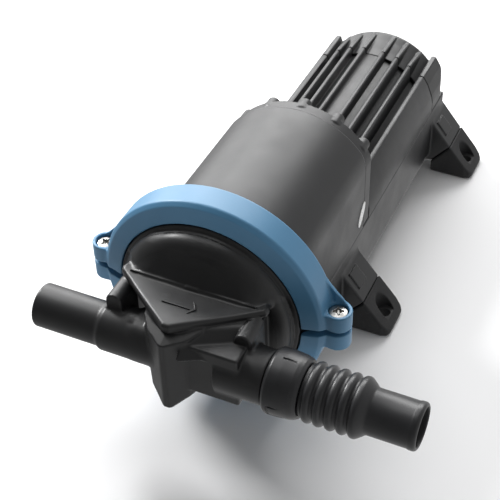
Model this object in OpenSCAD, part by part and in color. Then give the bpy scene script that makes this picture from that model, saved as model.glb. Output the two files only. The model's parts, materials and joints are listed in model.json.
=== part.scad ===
// Electric diaphragm bilge pump with a finned motor, a worm-driven crank and a clamped head.
// The origin is on the mounting face, at the centre of the four foot holes.
// +Y runs along the pump towards the motor, +X is the outlet side, +Z is up.

/* [Mounting] */
// Foot hole spacing across the pump
foot_spacing_x = 105; // [104:0.5:106]
// Foot hole spacing along the pump
foot_spacing_y = 131; // [129:0.5:133]
// Foot screw hole diameter
foot_hole_d = 5.2; // [4:0.1:6]
// Height of the diaphragm axis above the mounting face
pump_z = 60; // [60:0.5:66]

/* [Hose ends] */
// Outside diameter of the plain inlet tube and of the outlet tail
hose_small_d = 19; // [18:0.1:19.6]
// Outside diameter of the outlet ribs
hose_large_d = 25; // [24:0.1:26]
// Distance from the centre plane to the inlet end
inlet_reach = 64.3; // [58:0.5:72]

/* [Drive] */
// Crank throw, half the diaphragm stroke
throw = 4; // [3:0.5:4]
// Starts on the worm
worm_starts = 4; // [4:1:4]
// Teeth on the worm wheel
wheel_teeth = 24; // [24:1:24]

/* [Motor cover] */
// Thickness of each cooling fin
fin_w = 2.4; // [1.6:0.1:3]

/* [Hidden] */
$fn = 96;
ring_y = -133.5;
// Motor axis below the diaphragm axis
motor_z = -24;
// Round gearbox housing, a little below the diaphragm axis
case_r = 40.2;
case_z = -1.9;
case_half = 34.2;
case_y1 = 84.3;
belly_z = -55;
belly_r = 8.7;
seam_z = -20;
// Cooling fin positions from the centre plane and the height of each tip
fin_x = [5.3, 12.8, 19.7];
fin_tip = [10.1, 8.5, 5.1];
cover_r = 31;
rear_y = 207.3;
// Legs: two stations along the pump, each sloping out to a rubber boot
leg_y = [68, 199];
leg_half = 10.5;
slope_x0 = 32.6;
slope_z0 = -26.5;
slope = 1.22;
boot_x = 45.2;
// Port tubes in front of the head
tube_y = -37;
tube_z = -0.6;
// Crank axis and the eccentric centre at front dead centre
crank_y = 52;
ecc_y = crank_y - throw;
ecc_r = 9;
// Worm and wheel
gear_m = 1.5;
wheel_r = gear_m * wheel_teeth / 2;
worm_r = -motor_z - wheel_r;
worm_lead = PI * gear_m * worm_starts;
screw_x = 54.15;

module pump_frame() {
    translate([0, ring_y, pump_z]) children();
}

module both_sides() {
    children();
    mirror([1, 0, 0]) children();
}

// A flat shape drawn in X and Z, drawn out along Y
module along_y(y0, y1) {
    translate([0, y1, 0]) rotate([90, 0, 0]) linear_extrude(height = y1 - y0) children();
}

// A flat shape drawn in Y and Z, drawn out along X
module along_x(x0, x1) {
    translate([x0, 0, 0]) rotate([90, 0, 90]) linear_extrude(height = x1 - x0) children();
}

// A profile of radius and Y, turned about the Y axis
module about_y() {
    rotate([-90, 0, 0]) rotate_extrude() children();
}

// A profile of radius and X, turned about the X axis
module about_x() {
    rotate([0, 90, 0]) rotate_extrude() children();
}

module rod_y(y0, y1, r) {
    translate([0, y0, 0]) rotate([-90, 0, 0]) cylinder(h = y1 - y0, r = r);
}

module rod_x(x0, x1, r) {
    translate([x0, 0, 0]) rotate([0, 90, 0]) cylinder(h = x1 - x0, r = r);
}

module rod_z(z0, z1, r) {
    translate([0, 0, z0]) cylinder(h = z1 - z0, r = r);
}

function slope_z(x) = slope_z0 - slope * (x - slope_x0);

// Housing ------------------------------------------------------------------

module case_section(inset) {
    intersection() {
        translate([0, case_z]) circle(r = case_r - inset);
        translate([-case_half + inset, -60]) square([2 * (case_half - inset), 120]);
    }
}

// Tub under the gearbox and motor, with rounded lower corners
module belly_section(inset, top) {
    half = case_half - inset;
    r = belly_r - inset;
    low = belly_z + inset;
    translate([-half, low + r]) square([2 * half, top - low - r]);
    translate([-half + r, low]) square([2 * (half - r), 2 * r]);
    translate([-half + r, low + r]) circle(r = r);
    translate([half - r, low + r]) circle(r = r);
}

module leg() {
    top_z = slope_z(boot_x);
    along_y(-leg_half, leg_half)
        polygon([
            [29, -23], [slope_x0 - 1, slope_z0 + 1.22], [boot_x, top_z],
            [35.4, -53.5], [33.6, -53.4], [30, -54.6], [28, -54.6]
        ]);
}

// Small raised square on the upper slope of a leg
module leg_pad() {
    a = atan(slope);
    translate([slope_x0, -2.5, slope_z0])
        rotate([0, a, 0])
            translate([5.6, -4.3, -0.6])
                cube([9, 8.8, 1.2]);
}

module leg_grooves() {
    a = atan(slope);
    translate([slope_x0, 0, slope_z0])
        rotate([0, a, 0]) {
            translate([4.6, -20, -0.5]) cube([0.6, 40, 1]);
            translate([15.0, -20, -0.5]) cube([0.6, 40, 1]);
        }
}

module case_outside() {
    about_y() polygon([[20, 1.8], [45.2, 1.8], [45.2, 2.5], [42.9, 4.4], [20, 4.4]]);
    translate([0, 0, case_z]) rod_y(3, 13, case_r);
    along_y(12, case_y1) case_section(0);
    along_y(14, 91.5) belly_section(0, seam_z);
    along_y(91.4, rear_y) belly_section(0, seam_z);
    both_sides()
        for (y = leg_y)
            translate([0, y, 0]) {
                difference() {
                    leg();
                    leg_grooves();
                }
                leg_pad();
            }
}

module case_inside() {
    rod_y(0, 8, 31.4);
    translate([0, 0, case_z]) rod_y(6, 13, 36.8);
    along_y(12.9, case_y1 + 1) case_section(3);
    along_y(17, rear_y - 2.6) belly_section(2.2, seam_z + 1);
    along_y(case_y1 + 0.9, rear_y - 2.6)
        translate([-case_half + 3, seam_z - 2]) square([2 * case_half - 6, 30]);
}

module chassis() {
    color([0.075, 0.078, 0.085])
    pump_frame()
    difference() {
        union() {
            difference() {
                case_outside();
                case_inside();
            }
            both_sides() translate([0, crank_y, 0]) rod_x(22, case_half - 2, 10.5);
            translate([-8, 24.5, belly_z + 1]) cube([16, 6.5, 32]);
            translate([0, 24.5, motor_z]) rod_y(0, 6.5, 8);
            translate([-case_half + 1, 80.5, belly_z + 1]) cube([2 * case_half - 2, 3.5, 16]);
        }
        both_sides() translate([0, crank_y, 0]) rod_x(21, 29.6, 7.02);
        translate([0, 20, motor_z]) rod_y(0, 20, 5.52);
        translate([0, 79, motor_z]) rod_y(0, 6, 12);
        translate([-14, rear_y - 4, -42]) rod_y(0, 6, 6);
        both_sides()
            translate([case_half - 0.6, 51.2, -22.5]) cube([2, 0.8, 11.3]);
    }
}

module plate_section() {
    intersection() {
        translate([0, case_z]) circle(r = 38.8);
        translate([-case_half + 0.3, seam_z + 0.15]) square([2 * case_half - 0.6, 80]);
    }
}

module gearbox_plate() {
    color([0.07, 0.073, 0.08])
    pump_frame()
    difference() {
        union() {
            along_y(case_y1 + 0.15, 91.5) plate_section();
            along_y(85, 91.2)
                translate([-case_half + 5.2, -51.3])
                    square([2 * case_half - 10.4, 33.4]);
            for (a = [38, 64, 90, 116, 142])
                translate([36.2 * cos(a), 0, case_z + 36.2 * sin(a)])
                    rod_y(91, 95.5, 3.1);
        }
        translate([0, 80, motor_z]) rod_y(0, 20, 9.52);
    }
}

module cover_side(half) {
    polygon([
        [24, -6], [26, 0.3], [28.2, 0.1], [31, -4.2], [half - 0.8, -10.4], [half, -14.5],
        [half, seam_z + 0.15], [27.5, seam_z + 0.15]
    ]);
}

module cover_section(r, half) {
    intersection() {
        translate([0, motor_z]) circle(r = r);
        translate([-60, seam_z + 0.15]) square([120, 80]);
    }
    both_sides() cover_side(half);
}

module motor_shroud() {
    color([0.075, 0.078, 0.085])
    pump_frame()
    difference() {
        union() {
            along_y(91.7, 186) cover_section(cover_r, case_half);
            both_sides()
                for (i = [0:2])
                    along_y(91.7, 186)
                        translate([fin_x[i] - fin_w / 2, -4])
                            square([fin_w, fin_tip[i] + 4]);
        }
        translate([0, 80, motor_z]) rod_y(0, 120, 28.8);
    }
}

module motor_end_cap() {
    color([0.07, 0.073, 0.08])
    pump_frame()
    difference() {
        union() {
            intersection() {
                translate([0, 0, motor_z])
                    about_y()
                        polygon([
                            [0, 186.3], [cover_r, 186.3], [cover_r + 0.3, 192], [cover_r + 1.2, 200],
                            [33, 205.8], [32.6, rear_y - 0.5], [31.8, rear_y], [0, rear_y]
                        ]);
                translate([-60, 180, seam_z + 0.15]) cube([120, 40, 80]);
            }
            both_sides()
                intersection() {
                    along_y(186.3, rear_y) cover_side(case_half - 0.1);
                    translate([0, 0, -60])
                        linear_extrude(height = 80)
                            polygon([
                                [20, 180], [case_half, 180], [case_half, 196], [33.2, 203],
                                [31.8, rear_y], [20, rear_y]
                            ]);
                }
            both_sides()
                for (i = [0:2])
                    translate([fin_x[i], 0, 0])
                        along_x(-fin_w / 2, fin_w / 2)
                            polygon([
                                [186.3, -4], [186.3, fin_tip[i]], [190, fin_tip[i] - 0.3],
                                [205.5, motor_z + sqrt(33 * 33 - fin_x[i] * fin_x[i]) - 0.1], [205.5, -4]
                            ]);
        }
        translate([0, 180, motor_z]) rod_y(0, rear_y - 182.6, 28.8);
        both_sides() translate([21, 200, -12]) rod_y(0, 10, 1.8);
    }
}

module cable_gland() {
    color([0.03, 0.03, 0.032])
    pump_frame()
    translate([-14, 0, -42])
    about_y()
        polygon([
            [2.6, rear_y - 3.6], [7.4, rear_y - 3.6], [7.4, rear_y - 2.75], [5.85, rear_y - 2.75],
            [5.85, rear_y + 0.15], [7.4, rear_y + 0.15], [7.4, rear_y + 1.4], [5.4, rear_y + 5.4],
            [2.6, rear_y + 5.4]
        ]);
}

// Rubber boot under the end of the right leg at one station along the pump
module boot(y) {
    top_z = slope_z(boot_x) - 0.12;
    low = -pump_z;
    toe_x = slope_x0 + (slope_z0 - low) / slope;
    color([0.035, 0.035, 0.037])
    pump_frame()
    translate([0, y, 0])
    difference() {
        intersection() {
            along_y(-leg_half - 0.4, leg_half + 0.4)
                polygon([
                    [boot_x + 0.35, top_z], [toe_x - 1.9, low + 3.1], [toe_x - 1.3, low + 2],
                    [toe_x - 1.5, low + 0.9], [toe_x - 2.4, low], [36.4, low], [35.5, low + 0.9],
                    [35.5, -53.7]
                ]);
            translate([0, 0, low - 1])
                linear_extrude(height = 40)
                    polygon([
                        [30, -12], [54, -12], [57.2, -10.4], [59, -8], [59.6, -5], [59.6, 5],
                        [59, 8], [57.2, 10.4], [54, 12], [30, 12]
                    ]);
        }
        translate([foot_spacing_x / 2, 0, 0]) {
            rod_z(low - 1, low + 10, foot_hole_d / 2);
            rod_z(low + 5.5, low + 40, 4.8);
        }
    }
}

module foot_front_right() {
    boot(leg_y[0]);
}

module foot_front_left() {
    mirror([1, 0, 0]) boot(leg_y[0]);
}

module foot_rear_right() {
    boot(leg_y[1]);
}

module foot_rear_left() {
    mirror([1, 0, 0]) boot(leg_y[1]);
}

// Clamp --------------------------------------------------------------------

module ring_body() {
    about_y()
        polygon([
            [41.6, -9.9], [43.4, -9.7], [49.3, -7.7], [50.3, -7.0], [50.6, -6.2], [50.7, 5.0],
            [50.2, 5.55], [43.2, 5.55], [43.2, 4.6], [45.6, 2.6], [45.6, -3.4], [42.2, -7.0],
            [41.6, -7.6]
        ]);
}

module clamp_half() {
    difference() {
        union() {
            intersection() {
                ring_body();
                translate([-60, -20, 1.7]) cube([120, 40, 60]);
            }
            both_sides() {
                translate([screw_x, 0, 0]) rod_z(1.2, 9, 5.85);
                translate([45.9, -5.8, 1.5]) cube([8, 11, 7.4]);
                along_y(3.7, 5.3)
                    polygon([[46.4, 8], [46.4, 18.5], [48.2, 17.4], [55.8, 8.8], [55.8, 8]]);
            }
        }
        both_sides()
            translate([screw_x, 0, 0]) {
                rod_z(-1, 8, 2.3);
                rod_z(5.6, 12, 4.3);
            }
    }
}

module clamp_ring_upper() {
    color([0.27, 0.52, 0.75])
    pump_frame() clamp_half();
}

module clamp_ring_lower() {
    color([0.27, 0.52, 0.75])
    pump_frame() mirror([0, 0, 1]) clamp_half();
}

module clamp_nut(side) {
    color([0.62, 0.62, 0.6])
    pump_frame()
    translate([side * screw_x, 0, -8.95])
    difference() {
        cylinder(h = 3.2, r = 4.04, $fn = 6);
        translate([0, 0, -1]) cylinder(h = 6, r = 2.06);
    }
}

module clamp_nut_right() {
    clamp_nut(1);
}

module clamp_nut_left() {
    clamp_nut(-1);
}

module clamp_screw(side) {
    color([0.75, 0.75, 0.74])
    pump_frame()
    translate([side * screw_x, 0, 0])
    difference() {
        rotate_extrude()
            polygon([
                [0, -10.6], [1.6, -10.6], [2.0, -10.2], [2.0, 5.9], [3.9, 5.9], [3.95, 7.1],
                [3.5, 7.9], [2.4, 8.4], [0, 8.5]
            ]);
        translate([-2.2, -0.45, 7.0]) cube([4.4, 0.9, 3]);
        translate([-0.45, -2.2, 7.0]) cube([0.9, 4.4, 3]);
    }
}

module clamp_screw_right() {
    clamp_screw(1);
}

module clamp_screw_left() {
    clamp_screw(-1);
}

module check_sticker() {
    color([0.9, 0.9, 0.88])
    pump_frame()
    translate([0, 80.6, -9.5])
        rotate([-30, 0, 0])
            along_x(case_half + 0.02, case_half + 0.3)
                polygon([for (a = [0:10:350]) [2.6 * cos(a), 6.4 * sin(a)]]);
}

// Head ---------------------------------------------------------------------

module head_dome() {
    about_y()
        polygon(concat(
            [
                [33.4, -1.8], [45.2, -1.8], [45.2, -3.2], [41.2, -7.4], [41.2, -9.4], [40.4, -10.2],
                [38.9, -10.4], [38.9, -11.6], [38.3, -12.1]
            ],
            [for (a = [0:15:165]) [34.8 + 3.2 * cos(a), -12.6 - 3.2 * sin(a)]],
            [
                [30.4, -14.6], [26, -18.4], [20, -22.4], [10, -25.4], [0, -26.4], [0, -17], [18, -17],
                [25, -15], [30, -10], [33.4, -4]
            ]
        ));
}

// Triangular top plate with its thick rim
module head_slab() {
    translate([0, 0, 17.4])
        linear_extrude(height = 3.9)
            polygon([
                [-33, -21], [-32.2, -23], [-2.6, -45.9], [-1.2, -46.9], [1.2, -46.9], [2.6, -45.9],
                [32.2, -23], [33, -21], [31, -14], [-31, -14]
            ]);
}

// Ramp from the top plate back up to the bead
module head_ramp() {
    intersection() {
        along_x(-31.5, 31.5)
            polygon([[-23.2, 21.3], [-14, 32.4], [-10.5, 32.4], [-10.5, 12], [-23.2, 12]]);
        rod_y(-30, -8, 36.5);
    }
}

// Upright wedge between the two ports
module head_wedge() {
    intersection() {
        translate([0, 0, -30])
            linear_extrude(height = 60)
                polygon([
                    [-0.8, -51.4], [0.8, -51.4], [8.6, -46], [13, -40], [13, -16], [-13, -16],
                    [-13, -40], [-8.6, -46]
                ]);
        along_y(-60, -10)
            polygon([
                [-30, 17.6], [30, 17.6], [30, -9], [14.5, -12], [2.2, -22], [-2.2, -22],
                [-14.5, -12], [-30, -9]
            ]);
        along_x(-30, 30)
            polygon([
                [-47.4, 17.6], [-51.6, 12], [-51.6, -20.5], [-50, -22.2], [-14, -22.2], [-14, 17.6]
            ]);
    }
}

module valve_box() {
    intersection() {
        translate([7, -46.2, -12.6]) cube([23.6, 30, 25.4]);
        along_x(0, 40)
            polygon([
                [-46.3, 12], [-45.4, 12.9], [-10, 12.9], [-10, -12.7], [-44.8, -12.7], [-46.3, -11.2]
            ]);
    }
}

module lug() {
    translate([28.7, 0, 14.3]) rod_y(-37.3, -24, 3.7);
    translate([25, -37.3, 0]) cube([7.4, 13.3, 14.3]);
}

module pump_head() {
    color([0.075, 0.078, 0.085])
    pump_frame()
    difference() {
        union() {
            head_dome();
            head_slab();
            head_ramp();
            head_wedge();
            valve_box();
            both_sides() lug();
            translate([0, tube_y, tube_z]) {
                rod_x(-inlet_reach, 2, hose_small_d / 2);
                rod_x(-32.4, 2, hose_small_d / 2 + 0.7);
                rod_x(20, 41, 11.6);
            }
            translate([-24, -45, -9]) cube([22, 30, 17]);
        }
        translate([0, tube_y, tube_z]) {
            rod_x(-80, -7, 7.6);
            rod_x(7, 21, 7.6);
            rod_x(20, 45, 9.62);
        }
        both_sides() translate([14, tube_y, tube_z]) rod_y(0, 24, 6.4);
    }
}

module outlet_connector() {
    rib = hose_large_d / 2;
    tail = hose_small_d / 2;
    color([0.08, 0.083, 0.09])
    pump_frame()
    translate([0, tube_y, tube_z])
    difference() {
        about_x()
            polygon(concat(
                [[7, 23.5], [9.5, 23.5], [9.5, 26], [8.3, 26], [8.3, 28.4], [9.5, 28.4], [9.5, 56.2],
                 [rib - 1.3, 56.2]],
                [for (i = [0:4], k = [0:2])
                    [rib - [0.5, 0, 1.3][k], 58.4 + i * 4.7 + [0, 1.2, 3.0][k]]],
                [
                    [rib - 0.4, 79.4], [rib - 2.2, 81.2], [tail, 82.8], [tail, 102],
                    [tail - 0.5, 102.9], [8.6, 103.2],
                    [8.05, 102.6], [8.05, 84], [7, 80]
                ]
            ));
        both_sides() translate([57, 8.5, -0.4]) cube([18, 4, 0.8]);
    }
}

module outlet_collar() {
    color([0.075, 0.078, 0.085])
    pump_frame()
    translate([0, tube_y, tube_z])
    difference() {
        union() {
            about_x()
                polygon([
                    [9.62, 41.4], [12.6, 41.4], [13.5, 42.3], [13.7, 44], [13.3, 51.6], [12.9, 53.6],
                    [12.1, 55.6], [9.62, 55.9]
                ]);
            translate([43.5, -4, -14.9]) cube([8.2, 8, 4]);
        }
        rod_x(30, 60, 9.62);
    }
}

module connector_seal() {
    color([0.03, 0.03, 0.032])
    pump_frame()
    translate([0, tube_y, tube_z])
    about_x() polygon([[8.35, 26.2], [9.58, 26.2], [9.58, 28.2], [8.35, 28.2]]);
}

// Duckbill valve drawn along +Y from its flange at zero
module duckbill() {
    difference() {
        intersection() {
            about_y() polygon([[0, 0], [6.3, 0], [6.3, 1.8], [5.2, 1.8], [5.2, 12.6], [0, 12.6]]);
            translate([0, 0, -10])
                linear_extrude(height = 20)
                    polygon([[-7, -1], [7, -1], [7, 2], [5.2, 5], [0.9, 12.6], [-0.9, 12.6], [-5.2, 5], [-7, 2]]);
        }
        intersection() {
            rod_y(-1, 12, 4.2);
            translate([0, 0, -10])
                linear_extrude(height = 20)
                    polygon([[-5, -2], [5, -2], [4.2, 4.6], [0.2, 11.6], [-0.2, 11.6], [-4.2, 4.6]]);
        }
        translate([-0.15, 10, -4]) cube([0.3, 4, 8]);
    }
}

module inlet_valve() {
    color([0.25, 0.25, 0.26])
    pump_frame()
    translate([-14, -30.8, tube_z]) duckbill();
}

module outlet_valve() {
    color([0.25, 0.25, 0.26])
    pump_frame()
    translate([14, -17.4, tube_z]) mirror([0, 1, 0]) duckbill();
}

// Diaphragm and rod --------------------------------------------------------

module diaphragm() {
    color([0.05, 0.05, 0.052])
    pump_frame()
    about_y()
        polygon([
            [3.1, -throw - 0.8], [17, -throw - 0.8], [20, -throw - 0.2], [23, -0.2], [26.5, 1.5],
            [30, 0.2], [32, -1.5], [39, -1.5], [39, 1.5], [32.4, 1.5], [30.4, 1.9], [26.5, 3.2],
            [22.2, 1.4], [19.2, -throw + 1.4], [17, -throw + 0.8], [3.1, -throw + 0.8]
        ]);
}

module front_plate() {
    color([0.85, 0.85, 0.83])
    pump_frame()
    about_y()
        polygon([
            [3.06, -throw - 0.85], [17, -throw - 0.85], [17.3, -throw - 1.6], [16, -throw - 2.6],
            [8, -throw - 3.6], [3.06, -throw - 3.6]
        ]);
}

module rear_plate() {
    color([0.85, 0.85, 0.83])
    pump_frame()
    about_y()
        polygon([
            [3.06, -throw + 0.85], [16.4, -throw + 0.85], [16.8, -throw + 1.6], [15.6, -throw + 2.6],
            [8, -throw + 4], [3.06, -throw + 4]
        ]);
}

module diaphragm_bolt() {
    color([0.72, 0.72, 0.7])
    pump_frame()
    difference() {
        union() {
            about_y()
                polygon([[0, -throw - 7], [4.9, -throw - 7], [5.4, -throw - 6.4], [5.4, -throw - 3.65], [0, -throw - 3.65]]);
            rod_y(-throw - 4, 12, 3);
        }
        translate([0, -throw - 8, 0]) rotate([-90, 0, 0]) cylinder(h = 3, r = 2.6, $fn = 6);
    }
}

module connecting_rod() {
    color([0.3, 0.31, 0.33])
    pump_frame()
    difference() {
        union() {
            rod_y(-throw + 4.05, 20, 6.5);
            translate([-12, 15, -6]) cube([24, 8, 12]);
            both_sides() translate([6.2, 20, -5]) cube([5.6, 24, 10]);
            both_sides() translate([0, ecc_y, 0]) rod_x(6.2, 11.8, ecc_r + 4.6);
        }
        both_sides() translate([0, ecc_y, 0]) rod_x(5, 13, ecc_r + 2);
        rod_y(-6, 13, 3.03);
    }
}

module rod_bush(side) {
    color([0.72, 0.55, 0.3])
    pump_frame()
    translate([side * 9, ecc_y, 0])
    difference() {
        rod_x(-2.8, 2.8, ecc_r + 1.98);
        rod_x(-4, 4, ecc_r + 0.05);
    }
}

module rod_bush_right() {
    rod_bush(1);
}

module rod_bush_left() {
    rod_bush(-1);
}

// Drive --------------------------------------------------------------------

module crankshaft() {
    color([0.6, 0.6, 0.62])
    pump_frame() {
        translate([0, crank_y, 0]) rod_x(-29.3, 29.3, 4);
        both_sides() translate([0, ecc_y, 0]) rod_x(6.4, 11.6, ecc_r);
        both_sides() translate([0, crank_y, 0]) rod_x(12.5, 21.7, 6);
        both_sides() translate([0, crank_y, 0]) rod_x(11.4, 12.6, 4.6);
    }
}

module wheel_tooth_ring() {
    pitch = 360 / wheel_teeth;
    polygon([
        for (i = [0:wheel_teeth - 1], k = [0:3])
            let (a = i * pitch - 90 + [-3.6, -1.5, 1.5, 3.6][k])
            let (r = [15.9, wheel_r + 1.25, wheel_r + 1.25, 15.9][k])
            [r * cos(a), r * sin(a)]
    ]);
}

module worm_wheel() {
    turn = 6 * worm_lead / (2 * PI * worm_r) / wheel_r * 180 / PI;
    color([0.86, 0.83, 0.74])
    pump_frame()
    translate([0, crank_y, 0])
    difference() {
        union() {
            rotate([90, 0, 90])
                linear_extrude(height = 6, center = true, twist = -turn, slices = 8)
                    rotate(-turn / 2) wheel_tooth_ring();
            rod_x(-5.6, 5.6, 8);
        }
        rod_x(-8, 8, 4.02);
    }
}

module crank_bearing(side) {
    color([0.7, 0.54, 0.3])
    pump_frame()
    translate([side * 25.6, crank_y, 0])
    difference() {
        rod_x(-3.6, 3.6, 7);
        rod_x(-5, 5, 4.06);
    }
}

module crank_bearing_right() {
    crank_bearing(1);
}

module crank_bearing_left() {
    crank_bearing(-1);
}

module motor_shaft() {
    color([0.7, 0.7, 0.72])
    pump_frame() translate([0, 0, motor_z]) rod_y(25.5, 192, 3);
}

module worm_section() {
    polygon([
        for (a = [0:5:355])
            let (r = worm_r - 0.15 + 1.6 * cos(worm_starts * (a - 90 + 180 / worm_starts)))
            [r * cos(a), r * sin(a)]
    ]);
}

module worm() {
    half = 3 * worm_lead / worm_starts;
    color([0.66, 0.66, 0.68])
    pump_frame()
    translate([0, crank_y, motor_z])
    difference() {
        union() {
            rotate([-90, 0, 0])
                mirror([0, 1, 0])
                    linear_extrude(height = 2 * half, center = true, twist = 360 * 2 * half / worm_lead, slices = 60)
                        worm_section();
            rod_y(-half - 2, -half + 0.5, 5.4);
            rod_y(half - 0.5, half + 2, 5.4);
        }
        rod_y(-half - 5, half + 5, 3.02);
    }
}

module armature() {
    color([0.4, 0.4, 0.42])
    pump_frame()
    translate([0, 0, motor_z])
    difference() {
        rod_y(108, 156, 20.6);
        rod_y(100, 160, 3.02);
        for (a = [0:30:330])
            rotate([0, a, 0]) {
                translate([13, 100, -1.9]) cube([5.4, 60, 3.8]);
                translate([13, 100, -0.8]) cube([10, 60, 1.6]);
            }
    }
}

module windings() {
    color([0.72, 0.36, 0.18])
    pump_frame()
    translate([0, 0, motor_z]) {
        about_y() polygon([[4, 107.8], [19, 107.8], [18.6, 102], [15, 99.4], [8, 99.6], [4, 102.5]]);
        about_y() polygon([[4, 156.2], [19, 156.2], [18.6, 161], [15, 163.4], [8, 163.2], [4, 161]]);
    }
}

module commutator() {
    color([0.74, 0.42, 0.24])
    pump_frame()
    translate([0, 0, motor_z])
    difference() {
        rod_y(164, 177, 9);
        rod_y(160, 180, 3.02);
        for (a = [15:30:345])
            rotate([0, a, 0]) translate([7.6, 166, -0.3]) cube([3, 14, 0.6]);
    }
}

module motor_can() {
    color([0.55, 0.56, 0.58])
    pump_frame()
    translate([0, 0, motor_z])
    difference() {
        rod_y(92.6, 182, 28.3);
        rod_y(94.6, 190, 26.4);
        rod_y(90, 100, 11);
    }
}

module magnet(side) {
    color([0.2, 0.2, 0.21])
    pump_frame()
    translate([0, 0, motor_z])
    intersection() {
        difference() {
            rod_y(104, 160, 26.2);
            rod_y(100, 170, 21.3);
        }
        along_y(100, 170)
            polygon([[side * 2, 0], [side * 18, 40], [side * 60, 40], [side * 60, -40], [side * 18, -40]]);
    }
}

module magnet_right() {
    magnet(1);
}

module magnet_left() {
    magnet(-1);
}

module motor_end_bell() {
    color([0.5, 0.51, 0.53])
    pump_frame()
    translate([0, 0, motor_z])
    difference() {
        union() {
            rod_y(182.2, 184.6, 28.3);
            rod_y(184.5, 191, 12);
        }
        rod_y(180, 184.6, 7);
        rod_y(184, 190.4, 9.52);
        rod_y(190, 196, 4);
    }
}

module brush_plate() {
    color([0.42, 0.24, 0.14])
    pump_frame()
    translate([0, 0, motor_z])
    difference() {
        union() {
            rod_y(177.6, 179.6, 26.2);
            both_sides() translate([10.5, 166, -5.5]) cube([12, 12, 11]);
        }
        rod_y(160, 190, 9.8);
        both_sides() translate([9, 167.4, -3.1]) cube([12, 6.2, 6.2]);
    }
}

module brush() {
    color([0.13, 0.13, 0.14])
    pump_frame()
    translate([0, 0, motor_z])
    difference() {
        translate([8, 167.5, -3]) cube([10, 6, 6]);
        rod_y(160, 180, 9.3);
    }
}

module brush_right() {
    brush();
}

module brush_left() {
    mirror([1, 0, 0]) brush();
}

module shaft_bearing(y0, y1, r) {
    color([0.66, 0.67, 0.7])
    pump_frame()
    translate([0, 0, motor_z])
    difference() {
        rod_y(y0, y1, r);
        rod_y(y0 - 2, y1 + 2, 3.06);
    }
}

module front_bearing() {
    shaft_bearing(85.2, 91.2, 9.5);
}

module rear_bearing() {
    shaft_bearing(184.7, 190.2, 9.5);
}

module tail_bush() {
    color([0.7, 0.54, 0.3])
    pump_frame()
    translate([0, 0, motor_z])
    difference() {
        rod_y(24.6, 30.9, 5.5);
        rod_y(20, 40, 3.06);
    }
}

module end_screw(side) {
    color([0.7, 0.7, 0.7])
    pump_frame()
    translate([side * 21, 0, -12])
    difference() {
        about_y()
            polygon([
                [0, 202], [1.5, 202], [1.6, rear_y + 0.1], [3.4, rear_y + 0.1], [3.3, rear_y + 1.4],
                [2.4, rear_y + 2.1], [0, rear_y + 2.3]
            ]);
        translate([-2, rear_y + 1.2, -0.4]) cube([4, 3, 0.8]);
        translate([-0.4, rear_y + 1.2, -2]) cube([0.8, 3, 4]);
    }
}

module end_screw_right() {
    end_screw(1);
}

module end_screw_left() {
    end_screw(-1);
}

chassis();
gearbox_plate();
motor_shroud();
motor_end_cap();
cable_gland();
foot_front_right();
foot_front_left();
foot_rear_right();
foot_rear_left();
clamp_ring_upper();
clamp_ring_lower();
clamp_nut_right();
clamp_nut_left();
clamp_screw_right();
clamp_screw_left();
check_sticker();
pump_head();
outlet_connector();
outlet_collar();
connector_seal();
inlet_valve();
outlet_valve();
diaphragm();
front_plate();
rear_plate();
diaphragm_bolt();
connecting_rod();
rod_bush_right();
rod_bush_left();
crankshaft();
worm_wheel();
crank_bearing_right();
crank_bearing_left();
motor_shaft();
worm();
armature();
windings();
commutator();
motor_can();
magnet_right();
magnet_left();
motor_end_bell();
brush_plate();
brush_right();
brush_left();
front_bearing();
rear_bearing();
tail_bush();
end_screw_right();
end_screw_left();
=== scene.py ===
"""Looks of the electric diaphragm pump: moulded plastic, rubber and metal pieces on the part's frame.

Every shape is written in millimetres from the centre of the clamp ring: +X to the outlet,
+Y towards the motor, +Z up. shown() turns those into metres in the part's frame.
"""
import json
import math

import bpy
import numpy as np
from mathutils import Matrix, Vector


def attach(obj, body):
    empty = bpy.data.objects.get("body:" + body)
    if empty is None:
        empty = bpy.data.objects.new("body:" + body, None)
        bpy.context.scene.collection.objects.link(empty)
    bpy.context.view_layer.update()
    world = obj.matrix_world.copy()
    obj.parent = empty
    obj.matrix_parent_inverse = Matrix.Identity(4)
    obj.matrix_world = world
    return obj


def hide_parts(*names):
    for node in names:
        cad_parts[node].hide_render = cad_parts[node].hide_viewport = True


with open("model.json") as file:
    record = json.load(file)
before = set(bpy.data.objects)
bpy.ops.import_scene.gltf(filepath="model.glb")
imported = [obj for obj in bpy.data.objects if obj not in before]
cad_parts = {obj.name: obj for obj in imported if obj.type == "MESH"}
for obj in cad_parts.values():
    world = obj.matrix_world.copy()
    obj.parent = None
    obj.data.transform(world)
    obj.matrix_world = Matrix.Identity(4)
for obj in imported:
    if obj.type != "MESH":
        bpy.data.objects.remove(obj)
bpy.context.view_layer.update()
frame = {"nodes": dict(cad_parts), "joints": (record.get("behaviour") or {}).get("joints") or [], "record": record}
nodes = frame["nodes"]
joints = {j["name"]: j for j in frame["joints"]}
RING = np.array(joints["head_turn"]["pos_m"], float)
SCREW_X = abs(joints["screw_right_turn"]["pos_m"][0]) * 1000
FLOOR_Z = -RING[2] * 1000


def shown(points):
    return np.asarray(points, float) / 1000 + RING


# Materials ---------------------------------------------------------------


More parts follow.
